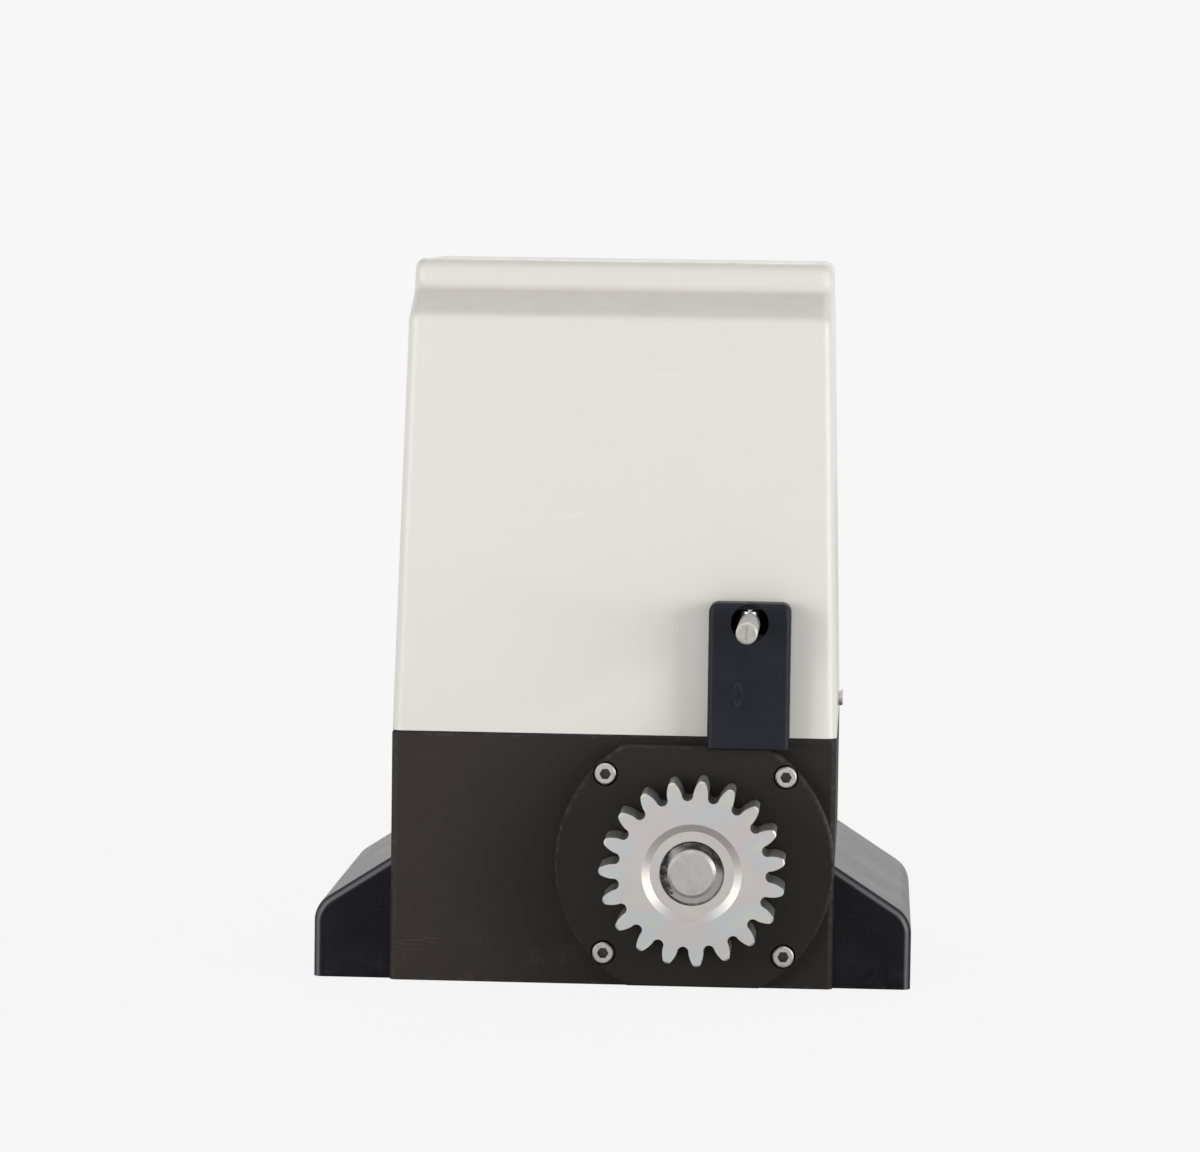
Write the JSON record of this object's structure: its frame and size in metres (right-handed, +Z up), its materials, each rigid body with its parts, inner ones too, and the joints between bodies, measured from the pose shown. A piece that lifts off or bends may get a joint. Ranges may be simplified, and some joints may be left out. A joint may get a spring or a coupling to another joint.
{
  "type": "sliding gate motor",
  "caption": "Sliding gate operator: cast gearbox base with toothed drive pinion, spring limit switch, moulded cover, mounting feet and a rear manual release.",
  "frame": {"origin": "on the ground under the middle of the gearbox base", "axes": "+X along the gate, -Y towards the gate and its rack, +Z up"},
  "size_m": [0.274, 0.2567, 0.33],
  "materials": {
    "cast_dark": "satin dark brown-grey paint on cast aluminium",
    "flange_dark": "satin dark brown-grey paint",
    "cast_plain": "as cast",
    "cover_plastic": "satin off-white moulded plastic",
    "gasket_rubber": "matt black",
    "foot_plastic": "glossy black",
    "screw_steel": "zinc plated",
    "seal_rubber": "matt dark brown",
    "bearing_steel": "ground",
    "shaft_steel": "turned",
    "zinc_steel": "zinc plated, faintly iridescent",
    "spring_steel": "plated",
    "bronze": "machined bronze",
    "lamination": "varnished steel laminations",
    "copper": "enamelled copper wire",
    "capacitor_can": "moulded can",
    "brass": "turned brass",
    "circuit_board": "green solder mask",
    "relay_plastic": "black",
    "terminal_plastic": "green",
    "switch_plastic": "satin blue-black",
    "lever_plastic": "fine-grained black"
  },
  "bodies": {
    "housing": {"base_housing": "cast_dark", "gearbox_lid": "cast_plain", "lid_screws": "screw_steel", "top_cover": "cover_plastic", "cover_gasket": "gasket_rubber", "cover_screws": "screw_steel", "mounting_bracket_left": "zinc_steel", "mounting_bracket_right": "zinc_steel", "bracket_screws": "screw_steel", "foot_cover_left": "foot_plastic", "foot_cover_right": "foot_plastic", "output_flange": "flange_dark", "flange_screws": "screw_steel", "shaft_seal": "seal_rubber", "front_bearing_outer": "bearing_steel", "rear_bearing_outer": "bearing_steel", "floor_bearing_outer": "bearing_steel", "lid_bearing_outer": "bearing_steel", "top_bearing_outer": "bearing_steel", "stator_stack": "lamination", "stator_windings": "copper", "motor_lower_bell": "cast_plain", "motor_upper_bell": "cast_plain", "motor_bolts": "screw_steel", "capacitor": "capacitor_can", "capacitor_clamp": "spring_steel", "board_bracket": "spring_steel", "board_standoffs": "brass", "control_board": "circuit_board", "relays": "relay_plastic", "terminal_blocks": "terminal_plastic", "transformer": "lamination", "cable_grommet": "gasket_rubber", "limit_case": "switch_plastic", "limit_case_back": "switch_plastic", "limit_pin": "spring_steel", "microswitches": "relay_plastic", "release_bezel": "foot_plastic", "bezel_screws": "screw_steel", "release_pin": "shaft_steel"},
    "output": {"output_shaft": "shaft_steel", "drive_pinion": "zinc_steel", "pinion_key": "shaft_steel", "circlip": "spring_steel", "worm_wheel": "bronze", "wheel_key": "shaft_steel", "front_bearing_inner": "bearing_steel", "rear_bearing_inner": "bearing_steel"},
    "rotor": {"motor_shaft": "shaft_steel", "motor_rotor": "lamination", "floor_bearing_inner": "bearing_steel", "lid_bearing_inner": "bearing_steel", "top_bearing_inner": "bearing_steel"},
    "switch_lever": {"limit_lever": "shaft_steel", "limit_spring": "spring_steel", "spring_tip": "spring_steel"},
    "release_handle": {"release_lever": "lever_plastic"},
    "lock": {"lock_barrel": "brass"},
    "plunger": {"release_plunger": "shaft_steel"}
  },
  "joints": [
    {"name": "motor_spin", "type": "hinge", "parent": "housing", "child": "rotor", "pos_m": [-0.0115, -0.022, 0.057], "axis": [0, 0, 1], "continuous": true},
    {"name": "output_spin", "type": "hinge", "parent": "housing", "child": "output", "pos_m": [0.038, -0.022, 0.057], "axis": [0, 1, 0], "continuous": true},
    {"name": "switch_swing", "type": "hinge", "parent": "housing", "child": "switch_lever", "pos_m": [0.0615, -0.094, 0.168], "axis": [0, 0, 1], "range_deg": [-25, 25], "stiffness_Nm_per_rad": 0.15},
    {"name": "release_swing", "type": "hinge", "parent": "housing", "child": "release_handle", "pos_m": [0.05, 0.098, 0.057], "axis": [0, 0, -1], "range_deg": [0, 90]},
    {"name": "lock_turn", "type": "hinge", "parent": "release_handle", "child": "lock", "pos_m": [-0.02, 0.098, 0.057], "axis": [0, 1, 0], "range_deg": [0, 90]},
    {"name": "plunger_slide", "type": "slide", "parent": "housing", "child": "plunger", "axis": [0, 1, 0], "range_m": [0, 0.0061]}
  ],
  "couplings": [
    {"joint": "output_spin", "follows": "motor_spin", "ratio": -0.033333},
    {"joint": "plunger_slide", "follows": "release_swing", "m_per_rad": 0.0038197}
  ]
}
